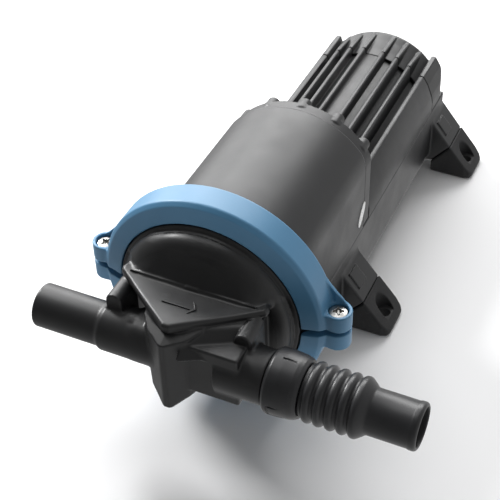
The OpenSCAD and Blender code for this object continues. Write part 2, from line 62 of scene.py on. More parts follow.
class Tree:
    """A material's node tree, with short calls for the nodes used here."""

    def __init__(self, name):
        self.mat = bpy.data.materials.new(name)
        self.mat.use_nodes = True
        self.nodes = self.mat.node_tree.nodes
        self.links = self.mat.node_tree.links
        self.shader = self.nodes["Principled BSDF"]
        self.place = self.nodes.new("ShaderNodeTexCoord").outputs["Object"]

    def link(self, a, b):
        self.links.new(a, b)

    def set(self, **values):
        for key, value in values.items():
            self.shader.inputs[key.replace("_", " ")].default_value = value

    def noise(self, scale, detail=4, rough=0.55, stretch=None):
        n = self.nodes.new("ShaderNodeTexNoise")
        n.inputs["Scale"].default_value = scale
        n.inputs["Detail"].default_value = detail
        n.inputs["Roughness"].default_value = rough
        source = self.place
        if stretch:
            m = self.nodes.new("ShaderNodeMapping")
            m.inputs["Scale"].default_value = stretch
            self.link(source, m.inputs["Vector"])
            source = m.outputs["Vector"]
        self.link(source, n.inputs["Vector"])
        return n.outputs["Fac"]

    def cells(self, scale):
        n = self.nodes.new("ShaderNodeTexVoronoi")
        n.inputs["Scale"].default_value = scale
        self.link(self.place, n.inputs["Vector"])
        return n.outputs["Distance"]

    def ramp(self, fac, stops):
        n = self.nodes.new("ShaderNodeValToRGB")
        e = n.color_ramp.elements
        e[0].position, e[0].color = stops[0][0], (*stops[0][1], 1)
        e[1].position, e[1].color = stops[-1][0], (*stops[-1][1], 1)
        for pos, col in stops[1:-1]:
            e.new(pos).color = (*col, 1)
        self.link(fac, n.inputs["Fac"])
        return n.outputs["Color"]

    def spread(self, fac, low, high, a=0.3, b=0.7):
        n = self.nodes.new("ShaderNodeMapRange")
        for key, value in zip(("From Min", "From Max", "To Min", "To Max"), (a, b, low, high)):
            n.inputs[key].default_value = value
        self.link(fac, n.inputs["Value"])
        return n.outputs["Result"]

    def math(self, kind, a, b):
        n = self.nodes.new("ShaderNodeMath")
        n.operation = kind
        for socket, value in zip(n.inputs, (a, b)):
            if isinstance(value, (int, float)):
                socket.default_value = value
            else:
                self.link(value, socket)
        return n.outputs["Value"]

    def mix(self, fac, a, b):
        n = self.nodes.new("ShaderNodeMix")
        n.data_type = "RGBA"
        if isinstance(fac, (int, float)):
            n.inputs["Factor"].default_value = fac
        else:
            self.link(fac, n.inputs["Factor"])
        for key, value in ((6, a), (7, b)):
            if isinstance(value, tuple):
                n.inputs[key].default_value = (*value, 1)
            else:
                self.link(value, n.inputs[key])
        return n.outputs[2]

    def edges(self, low=0.52, high=0.6):
        """Near 1 along convex edges and 0 on flat faces."""
        g = self.nodes.new("ShaderNodeNewGeometry")
        return self.spread(g.outputs["Pointiness"], 0.0, 1.0, low, high)

    def bump(self, height, strength, distance, after=None):
        n = self.nodes.new("ShaderNodeBump")
        n.inputs["Strength"].default_value = strength
        n.inputs["Distance"].default_value = distance
        self.link(height, n.inputs["Height"])
        if after is not None:
            self.link(after, n.inputs["Normal"])
        return n.outputs["Normal"]

    def finish(self, color=None, rough=None, normal=None):
        if color is not None:
            self.link(color, self.shader.inputs["Base Color"])
        if rough is not None:
            self.link(rough, self.shader.inputs["Roughness"])
        if normal is not None:
            self.link(normal, self.shader.inputs["Normal"])
        return self.mat


def moulded(name, dark, light, rough, grain, worn=None):
    """Satin moulded plastic: fine spark texture, faint flow marks and slightly rubbed edges."""
    t = Tree(name)
    t.set(Specular_IOR_Level=0.5)
    cloud = t.noise(28, 5)
    fine = t.noise(2600, 2)
    color = t.ramp(cloud, [(0.3, dark), (0.7, light)])
    if worn:
        rub = t.math("MULTIPLY", t.edges(), t.spread(t.noise(160, 4), 0.0, 1.0, 0.4, 0.7))
        color = t.mix(t.math("MULTIPLY", rub, 0.5), color, worn)
    r = t.math("ADD", t.spread(t.noise(55, 4), *rough), t.math("MULTIPLY", fine, 0.04))
    n = t.bump(fine, grain, 0.00012)
    n = t.bump(t.noise(420, 3), grain * 0.45, 0.0002, n)
    return t.finish(color, r, n)


def rubber(name, dark, light):
    t = Tree(name)
    t.set(Specular_IOR_Level=0.35)
    color = t.ramp(t.noise(60, 5), [(0.3, dark), (0.7, light)])
    dust = t.spread(t.noise(900, 3), 0.0, 0.12, 0.55, 0.75)
    color = t.mix(dust, color, (0.12, 0.12, 0.12))
    r = t.spread(t.noise(120, 4), 0.62, 0.8)
    n = t.bump(t.noise(1500, 3), 0.2, 0.0002)
    return t.finish(color, r, n)


def metal(name, dark, light, rough, stretch=(1, 1, 1), scale=900, worn=0.0):
    """Turned, ground or plated metal with faint tool marks across the direction stretched most."""
    t = Tree(name)
    t.set(Metallic=1.0)
    lay = t.noise(scale, 3, 0.6, stretch)
    tone = t.math("ADD", t.math("MULTIPLY", lay, 0.5), t.math("MULTIPLY", t.noise(90, 4), 0.5))
    color = t.ramp(tone, [(0.35, dark), (0.65, light)])
    if worn:
        color = t.mix(t.spread(t.noise(240, 5), 0.0, worn, 0.5, 0.75), color, (0.16, 0.13, 0.1))
    r = t.math("ADD", t.spread(lay, *rough), t.spread(t.noise(130, 4), 0.0, 0.06))
    n = t.bump(lay, 0.08, 0.0001)
    return t.finish(color, r, n)


def mineral(name, dark, light, rough=(0.6, 0.8), scale=1200):
    """Pressed ferrite, carbon, board or sintered material with a fine speckle."""
    t = Tree(name)
    color = t.ramp(t.noise(scale, 4, 0.7), [(0.35, dark), (0.65, light)])
    n = t.bump(t.cells(scale), 0.15, 0.0002)
    return t.finish(color, t.spread(t.noise(200, 4), *rough), n)


M = {
    "case": moulded("satin_black_case", (0.012, 0.0123, 0.013), (0.017, 0.0173, 0.0185),
                    (0.36, 0.46), 0.14, worn=(0.05, 0.05, 0.053)),
    "head": moulded("satin_black_head", (0.0105, 0.0107, 0.0112), (0.0155, 0.0157, 0.0165),
                    (0.34, 0.46), 0.12, worn=(0.045, 0.045, 0.047)),
    "connector": moulded("satin_black_connector", (0.013, 0.0133, 0.0145), (0.019, 0.0193, 0.021),
                         (0.32, 0.42), 0.1, worn=(0.055, 0.055, 0.058)),
    "blue": moulded("satin_blue_ring", (0.066, 0.2, 0.345), (0.078, 0.222, 0.375),
                    (0.34, 0.44), 0.08, worn=(0.22, 0.42, 0.6)),
    "boot": rubber("matt_black_boot", (0.016, 0.016, 0.0165), (0.024, 0.024, 0.025)),
    "nitrile": rubber("nitrile_rubber", (0.02, 0.02, 0.021), (0.03, 0.03, 0.031)),
    "vinyl": moulded("white_vinyl_dot", (0.78, 0.78, 0.77), (0.84, 0.84, 0.83), (0.3, 0.42), 0.04),
    "screw": metal("bright_screw_steel", (0.36, 0.355, 0.34), (0.5, 0.49, 0.47), (0.24, 0.36), scale=1400),
    "shaft": metal("ground_shaft_steel", (0.55, 0.55, 0.56), (0.68, 0.68, 0.69), (0.14, 0.24), (1, 12, 1)),
    "zinc": metal("zinc_plated_steel", (0.5, 0.52, 0.53), (0.66, 0.67, 0.67), (0.3, 0.45),
                  scale=300, worn=0.25),
    "lamination": metal("stacked_laminations", (0.3, 0.3, 0.31), (0.45, 0.45, 0.46), (0.35, 0.5),
                        (1, 30, 1), 600, 0.35),
    "copper": metal("enamelled_copper", (0.5, 0.2, 0.09), (0.72, 0.34, 0.17), (0.25, 0.4), (1, 14, 1), 500),
    "bronze": metal("sintered_bronze", (0.42, 0.28, 0.13), (0.6, 0.43, 0.22), (0.38, 0.55),
                    scale=1500, worn=0.3),
    "alloy": metal("die_cast_alloy", (0.42, 0.43, 0.44), (0.56, 0.57, 0.58), (0.4, 0.55),
                   scale=450, worn=0.2),
    "acetal": moulded("natural_acetal", (0.66, 0.63, 0.55), (0.76, 0.73, 0.65), (0.35, 0.5), 0.08),
    "magnet": mineral("ferrite_magnet", (0.03, 0.03, 0.032), (0.07, 0.07, 0.073)),
    "board": mineral("phenolic_board", (0.13, 0.055, 0.025), (0.22, 0.1, 0.05), (0.45, 0.6), 500),
    "carbon": mineral("brush_carbon", (0.02, 0.02, 0.021), (0.06, 0.06, 0.062)),
}

NODE_LOOK = {
    "case_plastic": "case", "connector_plastic": "connector", "black_rubber": "boot",
    "blue_plastic": "blue", "steel": "screw", "white_vinyl": "vinyl", "valve_rubber": "nitrile",
    "acetal": "acetal", "die_cast": "alloy", "bronze": "bronze", "shaft_steel": "shaft",
    "lamination_steel": "lamination", "copper": "copper", "zinc_steel": "zinc", "magnet": "magnet",
    "brush_board": "board", "carbon": "carbon",
}
NODE_SLOT = {s["node"]: s["material_slot"] for s in frame["record"]["subparts"]}


# Solids as distance fields -------------------------------------------------
# A field takes three arrays x, y, z and returns the distance to a surface, negative inside.


def meet(a, b, r):
    """Both solids at once, with the edge between them rounded to radius r."""
    return np.minimum(-r, np.maximum(a, b)) + np.hypot(np.maximum(a + r, 0), np.maximum(b + r, 0))


def join(a, b, r):
    """Either solid, with the inner corner between them filled to radius r."""
    return np.maximum(r, np.minimum(a, b)) - np.hypot(np.maximum(r - a, 0), np.maximum(r - b, 0))


def cut(a, b, r=0.3):
    """The first solid without the second, with the rim rounded to radius r."""
    return meet(a, -b, r)


def block(x, y, z, lo, hi, r=0.5):
    """A box from lo to hi with rounded edges."""
    q = [np.abs(v - (a + b) / 2) - (b - a) / 2 + r for v, a, b in zip((x, y, z), lo, hi)]
    outside = np.sqrt(sum(np.maximum(v, 0) ** 2 for v in q))
    return outside + np.minimum(np.maximum(np.maximum(q[0], q[1]), q[2]), 0) - r


def rod(u, v, w, w0, w1, radius, r=0.5):
    """A round bar about the axis u = v = 0, from w0 to w1, with rounded ends."""
    a = np.hypot(u, v) - radius + r
    b = np.abs(w - (w0 + w1) / 2) - (w1 - w0) / 2 + r
    return np.minimum(np.maximum(a, b), 0) + np.hypot(np.maximum(a, 0), np.maximum(b, 0)) - r


def flat(u, v, corners):
    """Signed distance to a closed flat outline."""
    pts = np.asarray(corners, float)
    best = np.full(np.shape(u), 1e18)
    flip = np.ones(np.shape(u), bool)
    for (au, av), (bu, bv) in zip(pts, np.roll(pts, 1, 0)):
        eu, ev = bu - au, bv - av
        wu, wv = u - au, v - av
        t = np.clip((wu * eu + wv * ev) / (eu * eu + ev * ev), 0, 1)
        best = np.minimum(best, (wu - eu * t) ** 2 + (wv - ev * t) ** 2)
        c = np.stack([v >= av, v < bv, eu * wv > ev * wu])
        flip ^= c.all(0) | ~c.any(0)
    return np.where(flip, 1, -1) * np.sqrt(best)


def slab(w, lo, hi):
    """A sheet between two parallel planes."""
    return np.abs(w - (lo + hi) / 2) - (hi - lo) / 2


def bend(t, a, b):
    """Smooth step from 0 at a to 1 at b."""
    s = np.clip((t - a) / (b - a), 0, 1)
    return s * s * (3 - 2 * s)


BLOCK = 8
BATCH = 1500
REACH = 1.35


def net(field, lo, hi, h):
    """Points, outward normals and four-sided faces of the surface where field is zero.

    The space from lo to hi is split into blocks of BLOCK cells of size h. Only the blocks whose
    centre is within REACH block widths of the surface are sampled, BATCH blocks at a time.
    """
    n = BLOCK
    h = h * 1
    lo = np.asarray(lo, float) - 1.5 * h
    count = np.ceil((np.asarray(hi, float) + 1.5 * h - lo) / (n * h)).astype(int)
    grid = np.stack(np.meshgrid(*[np.arange(k) for k in count], indexing="ij"), -1).reshape(-1, 3)
    centre = lo + (grid + 0.5) * n * h
    grid = grid[np.abs(field(*centre.T)) < REACH * n * h]
    size = count * n + 2
    local = np.stack(np.meshgrid(*[np.arange(n + 1)] * 3, indexing="ij"), -1)
    keys, spots, ways = [], [], []
    for start in range(0, len(grid), BATCH):
        base = grid[start:start + BATCH, None, None, None, :] * n + local
        p = lo + base * h
        d = field(p[..., 0], p[..., 1], p[..., 2])
        for axis in range(3):
            near = [slice(None)] * 4
            far = [slice(None)] * 4
            near[axis + 1], far[axis + 1] = slice(0, n), slice(1, n + 1)
            a, b = d[tuple(near)], d[tuple(far)]
            hit = (a < 0) != (b < 0)
            at = base[tuple(near)][hit]
            a, b = a[hit], b[hit]
            spot = lo + at * h
            spot[:, axis] += h * a / (a - b)
            keys.append(((at[:, 0] * size[1] + at[:, 1]) * size[2] + at[:, 2]) * 3 + axis)
            spots.append(spot)
            ways.append(a < 0)
    key, first = np.unique(np.concatenate(keys), return_index=True)
    spot, way = np.concatenate(spots)[first], np.concatenate(ways)[first]
    axis, cell = key % 3, key // 3
    step = np.array([size[1] * size[2], size[2], 1])
    one, two = step[(axis + 1) % 3], step[(axis + 2) % 3]
    ring = np.stack([cell - one - two, cell - two, cell, cell - one], 1)
    ring[~way] = ring[~way][:, ::-1]
    used, face = np.unique(ring, return_inverse=True)
    face = face.reshape(-1, 4)
    total = np.bincount(face.ravel(), minlength=len(used))
    points = np.stack(
        [np.bincount(face.ravel(), np.repeat(spot[:, k], 4), len(used)) for k in range(3)], 1
    ) / total[:, None]
    for _ in range(2):
        g = slope(field, points, 0.02)
        d = np.clip(field(*points.T), -0.6 * h, 0.6 * h)
        points = points - g * (d / np.maximum((g ** 2).sum(1), 0.2))[:, None]
    g = slope(field, points, 0.12 * h)
    return points, g / np.maximum(np.linalg.norm(g, axis=1), 1e-9)[:, None], face


def slope(field, points, e):
    """The field's gradient at each point, from samples e to either side."""
    g = np.empty_like(points)
    for k in range(3):
        side = np.zeros(3)
        side[k] = e
        g[:, k] = (field(*(points + side).T) - field(*(points - side).T)) / (2 * e)
    return g


# Pieces --------------------------------------------------------------------


def piece(name, points, faces, body, look, stands_for=(), normals=None, sharp=35):
    """A visible piece on a body, standing for CAD nodes, with given normals or creases above sharp degrees."""
    mesh = bpy.data.meshes.new(name)
    mesh.from_pydata(shown(points).tolist(), [], [list(map(int, f)) for f in faces])
    mesh.materials.append(M[look])
    mesh.polygons.foreach_set("use_smooth", [True] * len(mesh.polygons))
    if normals is not None:
        mesh.normals_split_custom_set_from_vertices(normals.tolist())
    else:
        mesh.set_sharp_from_angle(angle=math.radians(sharp))
    mesh.validate()
    obj = bpy.data.objects.new(name, mesh)
    bpy.context.scene.collection.objects.link(obj)
    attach(obj, body)
    if stands_for:
        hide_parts(*stands_for)
    return obj


def solid(name, field, lo, hi, h, body, look, stands_for=()):
    """A piece from a distance field."""
    points, normals, faces = net(field, lo, hi, h)
    return piece(name, points, faces, body, look, stands_for, normals)


def arc(cu, cv, r, a0, a1, n):
    """Points on an arc, angles in degrees."""
    return [(cu + r * math.cos(math.radians(a0 + (a1 - a0) * i / n)),
             cv + r * math.sin(math.radians(a0 + (a1 - a0) * i / n))) for i in range(n + 1)]


def softened(corners, r, n=5):
    """An outline with each corner rounded; r is one radius, or one for each corner."""
    pts = [np.array(p, float) for p in corners]
    radii = r if hasattr(r, "__len__") else [r] * len(pts)
    out = []
    for i, p in enumerate(pts):
        a, b = pts[i - 1] - p, pts[(i + 1) % len(pts)] - p
        la, lb = np.linalg.norm(a), np.linalg.norm(b)
        a, b = a / la, b / lb
        angle = math.acos(max(-1, min(1, float(a @ b))))
        if radii[i] <= 0 or angle > math.radians(176):
            out.append(p)
            continue
        reach = min(radii[i] / math.tan(angle / 2), 0.48 * la, 0.48 * lb)
        radius = reach * math.tan(angle / 2)
        centre = p + (a + b) / np.linalg.norm(a + b) * radius / math.sin(angle / 2)
        u, v = p + a * reach - centre, p + b * reach - centre
        for k in range(n + 1):
            t = k / n
            w = math.pi - angle
            out.append(centre + (u * math.sin((1 - t) * w) + v * math.sin(t * w)) / math.sin(w))
    return np.array(out)


def area(outline):
    """Twice the area inside a closed outline, positive when it runs anticlockwise."""
    after = np.roll(outline, -1, 0)
    return np.sum(outline[:, 0] * after[:, 1] - after[:, 0] * outline[:, 1])


def turned(name, profile, centre, axis, body, look, stands_for=(), n=96, sharp=35):
    """A closed profile of (radius, distance along the axis) turned about X, Y or Z through centre."""
    profile = np.asarray(profile, float)
    m = len(profile)
    points, faces = [], []
    for i in range(n):
        t = 2 * math.pi * i / n
        for r, w in profile:
            u, v = r * math.cos(t), r * math.sin(t)
            points.append({"x": (w, u, v), "y": (v, w, u), "z": (u, v, w)}[axis])
    for i in range(n):
        for k in range(m):
            a, b = i * m + k, i * m + (k + 1) % m
            c, d = ((i + 1) % n) * m + (k + 1) % m, ((i + 1) % n) * m + k
            faces.append((a, b, c, d))
    if area(profile) > 0:
        faces = [f[::-1] for f in faces]
    return piece(name, np.array(points) + np.array(centre), faces, body, look, stands_for, None, sharp)


def prism(name, outline, y0, y1, r, body, look, stands_for=()):
    """A flat outline of (x, z) drawn out along Y, with both end rims rounded to radius r."""
    pts = np.asarray(outline, float)
    if area(pts) < 0:
        pts = pts[::-1]
    before, after = pts - np.roll(pts, 1, 0), np.roll(pts, -1, 0) - pts
    before /= np.linalg.norm(before, axis=1)[:, None]
    after /= np.linalg.norm(after, axis=1)[:, None]
    inward = np.stack([-(before + after)[:, 1], (before + after)[:, 0]], 1)
    inward /= np.maximum((inward * np.stack([-after[:, 1], after[:, 0]], 1)).sum(1), 0.5)[:, None]
    turn = np.linspace(0, math.pi / 2, 4)
    rows = [(y0 + r * (1 - math.sin(t)), r * (1 - math.cos(t))) for t in turn[::-1]]
    rows += [(y1 - r * (1 - math.sin(t)), r * (1 - math.cos(t))) for t in turn]
    m = len(pts)
    points, faces = [], []
    for y, inset in rows:
        ring = pts + inward * inset
        points += [(x, y, z) for x, z in ring]
    for j in range(len(rows) - 1):
        for i in range(m):
            k = (i + 1) % m
            faces.append((j * m + i, (j + 1) * m + i, (j + 1) * m + k, j * m + k))
    faces.append(tuple(range(m)))
    faces.append(tuple(range(len(rows) * m - 1, (len(rows) - 1) * m - 1, -1)))
    return piece(name, np.array(points), faces, body, look, stands_for, None, 38)


def look_over_cad():
    """Gives every CAD node its own material."""
    for name, obj in nodes.items():
        obj.data.materials.clear()
        obj.data.materials.append(M[NODE_LOOK[NODE_SLOT[name]]])


# Head ----------------------------------------------------------------------

# The line of both ports in Y and Z, then the dome's profile in radius and Y.
PORT = (-37.0, -0.6)
DOME = (
    [(33.4, -1.8), (45.2, -1.8), (45.2, -3.2), (41.2, -7.4), (41.2, -9.2), (41.0, -9.8), (40.5, -10.1),
     (39.3, -10.3), (39.1, -10.6), (38.9, -11.4), (38.6, -11.9)]
    + arc(32.4, -11.2, 6.3, -4, -70, 11)
    + [(33, -17.35), (31, -17.6), (29, -18.1), (27, -18.7), (25, -19.65), (23, -20.7), (21, -21.7),
       (19, -22.6), (16.5, -23.6), (13.5, -24.5), (10, -25.3), (6, -25.9), (2, -26.3), (-10, -26.4), (-10, -17),
       (18, -17), (25, -15), (30, -10), (33.4, -4)]
)
SLAB = softened([(-33, -21), (-32.4, -23), (-1.6, -46.7), (1.6, -46.7), (32.4, -23), (33, -21),
                 (31, -14), (-31, -14)], [0.8, 1.2, 1.6, 1.6, 1.2, 0.8, 0, 0], 4)
WEDGE_XY = softened([(-0.9, -51.4), (0.9, -51.4), (8.6, -46), (13, -40), (13, -16), (-13, -16),
                     (-13, -40), (-8.6, -46)], [0.8, 0.8, 1, 1, 0, 0, 1, 1], 4)
WEDGE_XZ = [(-30, 17.8), (30, 17.8), (30, -9), (14.5, -12), (2.2, -22), (-2.2, -22), (-14.5, -12),
            (-30, -9)]
RAMP = [(-23.0, 20.2), (-20.5, 23.6), (-15, 31.0), (-10.5, 33), (-10.5, 18.2), (-23.0, 18.2)]
# HIP is the outward direction of the small facet in front of the plate's tip.
HIP = (0.1, -0.35, 0.932)
BORE_R, SOCKET_R = 7.6, 9.62


def head_field(x, y, z):
    """Dome, triangular plate over the wedge and valve box, two lugs, inlet tube and outlet neck."""
    far = np.abs(x)
    r = np.hypot(x, z)
    py, pz = y - PORT[0], z - PORT[1]
    d = flat(r, y, DOME)
    ramp = meet(flat(y, z, RAMP), (r - 32.5) * 0.87 - (y + 23) * 0.49, 3)
    d = join(d, ramp, 3)
    top = 19.9 + 1.3 * bend(-y - 0.1 * far, 24, 45)
    plate = meet(meet(flat(x, y, SLAB), z - top, 1.7), 16.9 - z, 0.8)
    d = join(d, plate, 1.8)
    ridge = np.hypot(np.hypot(y + 22.9, z - 20.5), np.maximum(far - 28, 0)) - 0.36
    knob = np.hypot(np.hypot(y + 23.0, z - 20.4), np.maximum(far - 2.4, 0)) - 0.8
    d = join(d, np.minimum(ridge, knob), 0.6)
    wedge = meet(flat(x, y, WEDGE_XY), flat(x, z, WEDGE_XZ), 0.8)
    wedge = meet(wedge, slab(y, -51.4, -14), 0.7)
    wedge = meet(wedge, HIP[0] * far + HIP[1] * (y + 45.5) + HIP[2] * (z - 16.3), 0.5)
    d = join(d, wedge, 0.9)
    box = block(x, y, z, (5, -46.2, -12.7), (30.6, -14, 12.9), 1.1)
    d = join(d, box, 0.8)
    bank = (0.472 * (x - 8.6) - 0.881 * (y + 45.7)) * 0.72 + (z - 12.9) * 0.69
    bank = meet(bank, block(x, y, z, (6, -52, 8), (26.5, -14, 17.2), 1.2), 1.0)
    d = join(d, bank, 0.6)
    tab = np.where(z > 14.3, np.hypot(far - 28.7, z - 14.3), np.abs(far - 28.7)) - 3.7
    tab = meet(meet(tab, slab(y, -37.3, -24), 0.7), -z, 0.5)
    d = join(d, tab, 0.6)
    swell = block(x, y, z, (-20, -44, -8.4), (-1, -14, 8.8), 3.5)
    tube = rod(py, pz, x, -64.3, 4, 9.5, 0.7)
    tube = join(tube, rod(py, pz, x, -32.4, 4, 9.8, 0.3), 3)
    d = join(d, join(swell, tube, 3), 1.2)
    neck = rod(py, pz, x, 20, 40.7, 11.6, 0.7)
    d = join(d, neck, 0.9)
    bore = np.minimum(rod(py, pz, x, -80, -7, BORE_R, 0.2), rod(py, pz, x, 7, 22, BORE_R, 0.2))
    bore = np.minimum(bore, rod(py, pz, x, 20, 45, SOCKET_R, 0.2))
    ports = rod(far - 14, pz, y, -37, -12, 6.4, 0.2)
    return cut(d, np.minimum(bore, ports), 0.5)


solid("head_moulding", head_field, (-65, -52, -46), (46, -1, 46), 0.62, "head", "head", ["pump_head"])


def arrow_field(x, y, z):
    """A thin raised arrow that points to the outlet."""
    def bar(a, b):
        wx, wy = x - a[0], y - a[1]
        ex, ey = b[0] - a[0], b[1] - a[1]
        t = np.clip((wx * ex + wy * ey) / (ex * ex + ey * ey), 0, 1)
        return np.hypot(wx - ex * t, wy - ey * t) - 0.24

    tip = (6.8, -33.6)
    barbs = np.minimum(bar((4.6, -30.2), tip), bar(tip, (4.6, -36.6)))
    d = np.minimum(bar((-7.7, -34.2), (4.4, -34.2)), barbs)
    return meet(d, slab(z, 19.9, 21.05), 0.12)


solid("flow_arrow", arrow_field, (-8.2, -37, 19.9), (7.2, -29.9, 21.1), 0.2, "head", "head")


# Clamp ---------------------------------------------------------------------

RING_PROFILE = softened(
    [(41.6, -9.9), (49.0, -8.0), (50.7, -6.4), (50.7, 5.55), (43.2, 5.55), (43.2, 4.6), (45.6, 2.6),
     (45.6, -3.4), (42.2, -7.0), (41.6, -7.6)], [0.5, 1.6, 1.6, 0.6, 0.3, 0.3, 0.2, 0.2, 0.2, 0.3], 4)
GUSSET = softened([(46.4, 8), (46.4, 19), (48.6, 17.2), (56.0, 8.9), (56.0, 8)], 0.3, 2)


def clamp_field(x, y, z):
    """Upper half of the ring with an ear at each end, parted from the lower half by a narrow gap."""
    far = np.abs(x)
    r = np.hypot(x, z)
    side = np.hypot(far - SCREW_X, y)
    band = flat(r, y, RING_PROFILE)
    boss = meet(side - 5.85, slab(z, 0, 9.0), 0.45)
    link = block(far, y, z, (45.9, -5.75, 0), (54.2, 5.3, 8.9), 0.5)
    ear = join(boss, link, 0.3)
    web = meet(flat(far, z, GUSSET), slab(y, 3.7, 5.35), 0.3)
    ear = join(ear, web, 0.8)
    d = join(band, ear, 1.1)
    base = 1.75 - 0.85 * bend(far, 46, 60)
    d = meet(d, base - z, 0.35)
    d = cut(d, meet(side - 4.3, 5.6 - z, 0.2), 0.35)
    return cut(d, side - 2.3, 0.2)


ring_points, ring_normals, ring_faces = net(clamp_field, (-61, -11, 0), (61, 6.5, 51), 0.55)
piece("clamp_half_upper", ring_points, ring_faces, "housing", "blue", ["clamp_ring_upper"], ring_normals)
down = np.array([1, 1, -1])
piece("clamp_half_lower", ring_points * down, ring_faces[:, ::-1], "housing", "blue", ["clamp_ring_lower"],
      ring_normals * down)


def plus(u, v, half_width, half_length):
    """A plus sign with square ends."""
    u, v = np.abs(u), np.abs(v)
    return np.minimum(np.maximum(u - half_width, v - half_length), np.maximum(v - half_width, u - half_length))


def screw_field(x, y, z):
    """Domed pan head with a cross recess and four tick lines, on a plain shank."""
    r = np.hypot(x, y)
    d = rod(x, y, z, 5.9, 8.5, 3.95, 0.75)
    d = meet(d, r * 0.2 + z - 8.62, 0.4)
    d = join(d, rod(x, y, z, -10.6, 6.4, 2.0, 0.4), 0.25)
    deep = 6.3 + 0.25 * r
    u, v = (x + y) / math.sqrt(2), (x - y) / math.sqrt(2)
    cross, tick = plus(x, y, 0.5, 2.25), plus(u, v, 0.22, 1.5)
    d = cut(d, meet(np.minimum(cross, tick - 0.02), deep - z, 0.1), 0.12)
    lines = np.maximum(np.minimum(np.abs(u), np.abs(v)) - 0.11, slab(r, 2.1, 3.1))
    return cut(d, meet(lines, 8.0 - z, 0.05), 0.05)


SCREW_SPIN = math.radians(24)
screw_points, screw_normals, screw_faces = net(screw_field, (-4.2, -4.2, -10.8), (4.2, 4.2, 8.8), 0.17)
for body, sign in (("screw_right", 1), ("screw_left", -1)):
    c, s = math.cos(SCREW_SPIN * sign), math.sin(SCREW_SPIN * sign)
    rot = np.array([[c, s, 0], [-s, c, 0], [0, 0, 1]])
    piece("cross_recess_" + body, screw_points @ rot + np.array([sign * SCREW_X, 0, 0]), screw_faces, body,
          "screw", ["clamp_" + body], screw_normals @ rot)


# Outlet --------------------------------------------------------------------

RIBS = [59.4, 64.2, 69.0, 73.8]


def hose_tail_profile():
    """Seal groove, five ribs, the last with a long slope, and the plain tail with its rolled lip."""
    out = [(7.0, 23.5), (9.5, 23.5), (9.5, 26), (8.3, 26), (8.3, 28.4), (9.5, 28.4), (9.5, 56.0),
           (10.9, 56.2)]
    for c in RIBS:
        out += [(11.05, c - 2.1), (11.5, c - 1.9), (12.25, c - 1.2), (12.5, c - 0.5), (12.5, c + 0.35),
                (12.2, c + 0.95), (11.5, c + 1.55), (11.1, c + 1.85), (11.0, c + 2.25)]
    out += [(11.1, 76.4), (11.9, 76.9), (12.35, 77.5), (12.5, 78.1), (12.5, 78.9), (12.3, 79.5),
            (11.4, 80.7), (10.4, 82.0), (9.8, 82.6), (9.5, 83.4), (9.5, 99.5), (9.65, 99.9),
            (9.78, 100.4), (9.8, 101.5), (9.7, 102.2), (9.35, 102.8), (8.9, 103.1), (8.45, 103.15),
            (8.15, 102.9), (8.05, 102.4), (8.05, 84), (7, 80)]
    return out


turned("stepped_hose_tail", hose_tail_profile(), (0, *PORT), "x", "head", "connector",
       ["outlet_connector"], 128, 40)


SLEEVE = softened(
    [(9.62, 41.3), (12.7, 41.3), (13.75, 42.6), (13.75, 47), (13.2, 52.6), (12.7, 54.4), (11.9, 55.8),
     (9.62, 55.8)], [0.2, 0.6, 1.3, 6, 1, 1, 0.6, 0.2], 4)


def sleeve_field(x, y, z):
    """Collar with a tab below, a shallow sunk border on its side and a mark on top."""
    py, pz = y - PORT[0], z - PORT[1]
    r = np.hypot(py, pz)
    body = flat(r, x, SLEEVE)
    tab = block(x, py, pz, (43.6, -4.6, -15.0), (51.8, 4.6, -9), 0.7)
    outer = np.maximum(np.maximum(slab(x, 44.0, 52.4), slab(pz, -7.4, -0.2)), py)
    shallow = np.maximum(outer, 13.35 - r)
    inner = np.maximum(np.maximum(slab(x, 44.7, 51.7), slab(pz, -6.6, -1.0)), py)
    d = join(body, tab, 1.2)
    d = cut(d, np.maximum(shallow, -inner), 0.12)
    mark = np.maximum(np.maximum(slab(x, 46, 51.5), slab(py, -0.2, 0.5)), 13.1 - pz)
    return cut(d, mark, 0.15)


solid("outlet_sleeve", sleeve_field, (41, -52.5, -16.5), (56.2, -22, 14), 0.42, "head", "connector",
      ["outlet_collar"])


# Housing ---------------------------------------------------------------------

# Heights of the drum's axis, the motor's axis and the seam above the tub, and the rear face.
CASE_Z, MOTOR_Z, SEAM_Z, REAR_Y = -1.9, -24.0, -20.0, 207.3
LEG_Y = (68, 199)
LEG = [(26, -20.5), (31.4, -25.0), (45.2, -41.9), (35.4, -53.5), (33.6, -53.4), (30, -54.8), (26, -54.8)]
LEG_SLOPE, LEG_TOP = 1.22, (32.6, -26.5)
LEAN = math.atan(LEG_SLOPE)
CASE_RIM = [(20, 1.8), (45.2, 1.8), (45.2, 2.6), (42.9, 4.4), (20, 4.4)]


def tub_shape(far, z, inset):
    """The tub's cross section, flat sides with rounded lower corners, shrunk by inset."""
    u, w = far - 25.5, -46.3 - z
    return np.hypot(np.maximum(u, 0), np.maximum(w, 0)) + np.minimum(np.maximum(u, w), 0) - 8.7 + inset


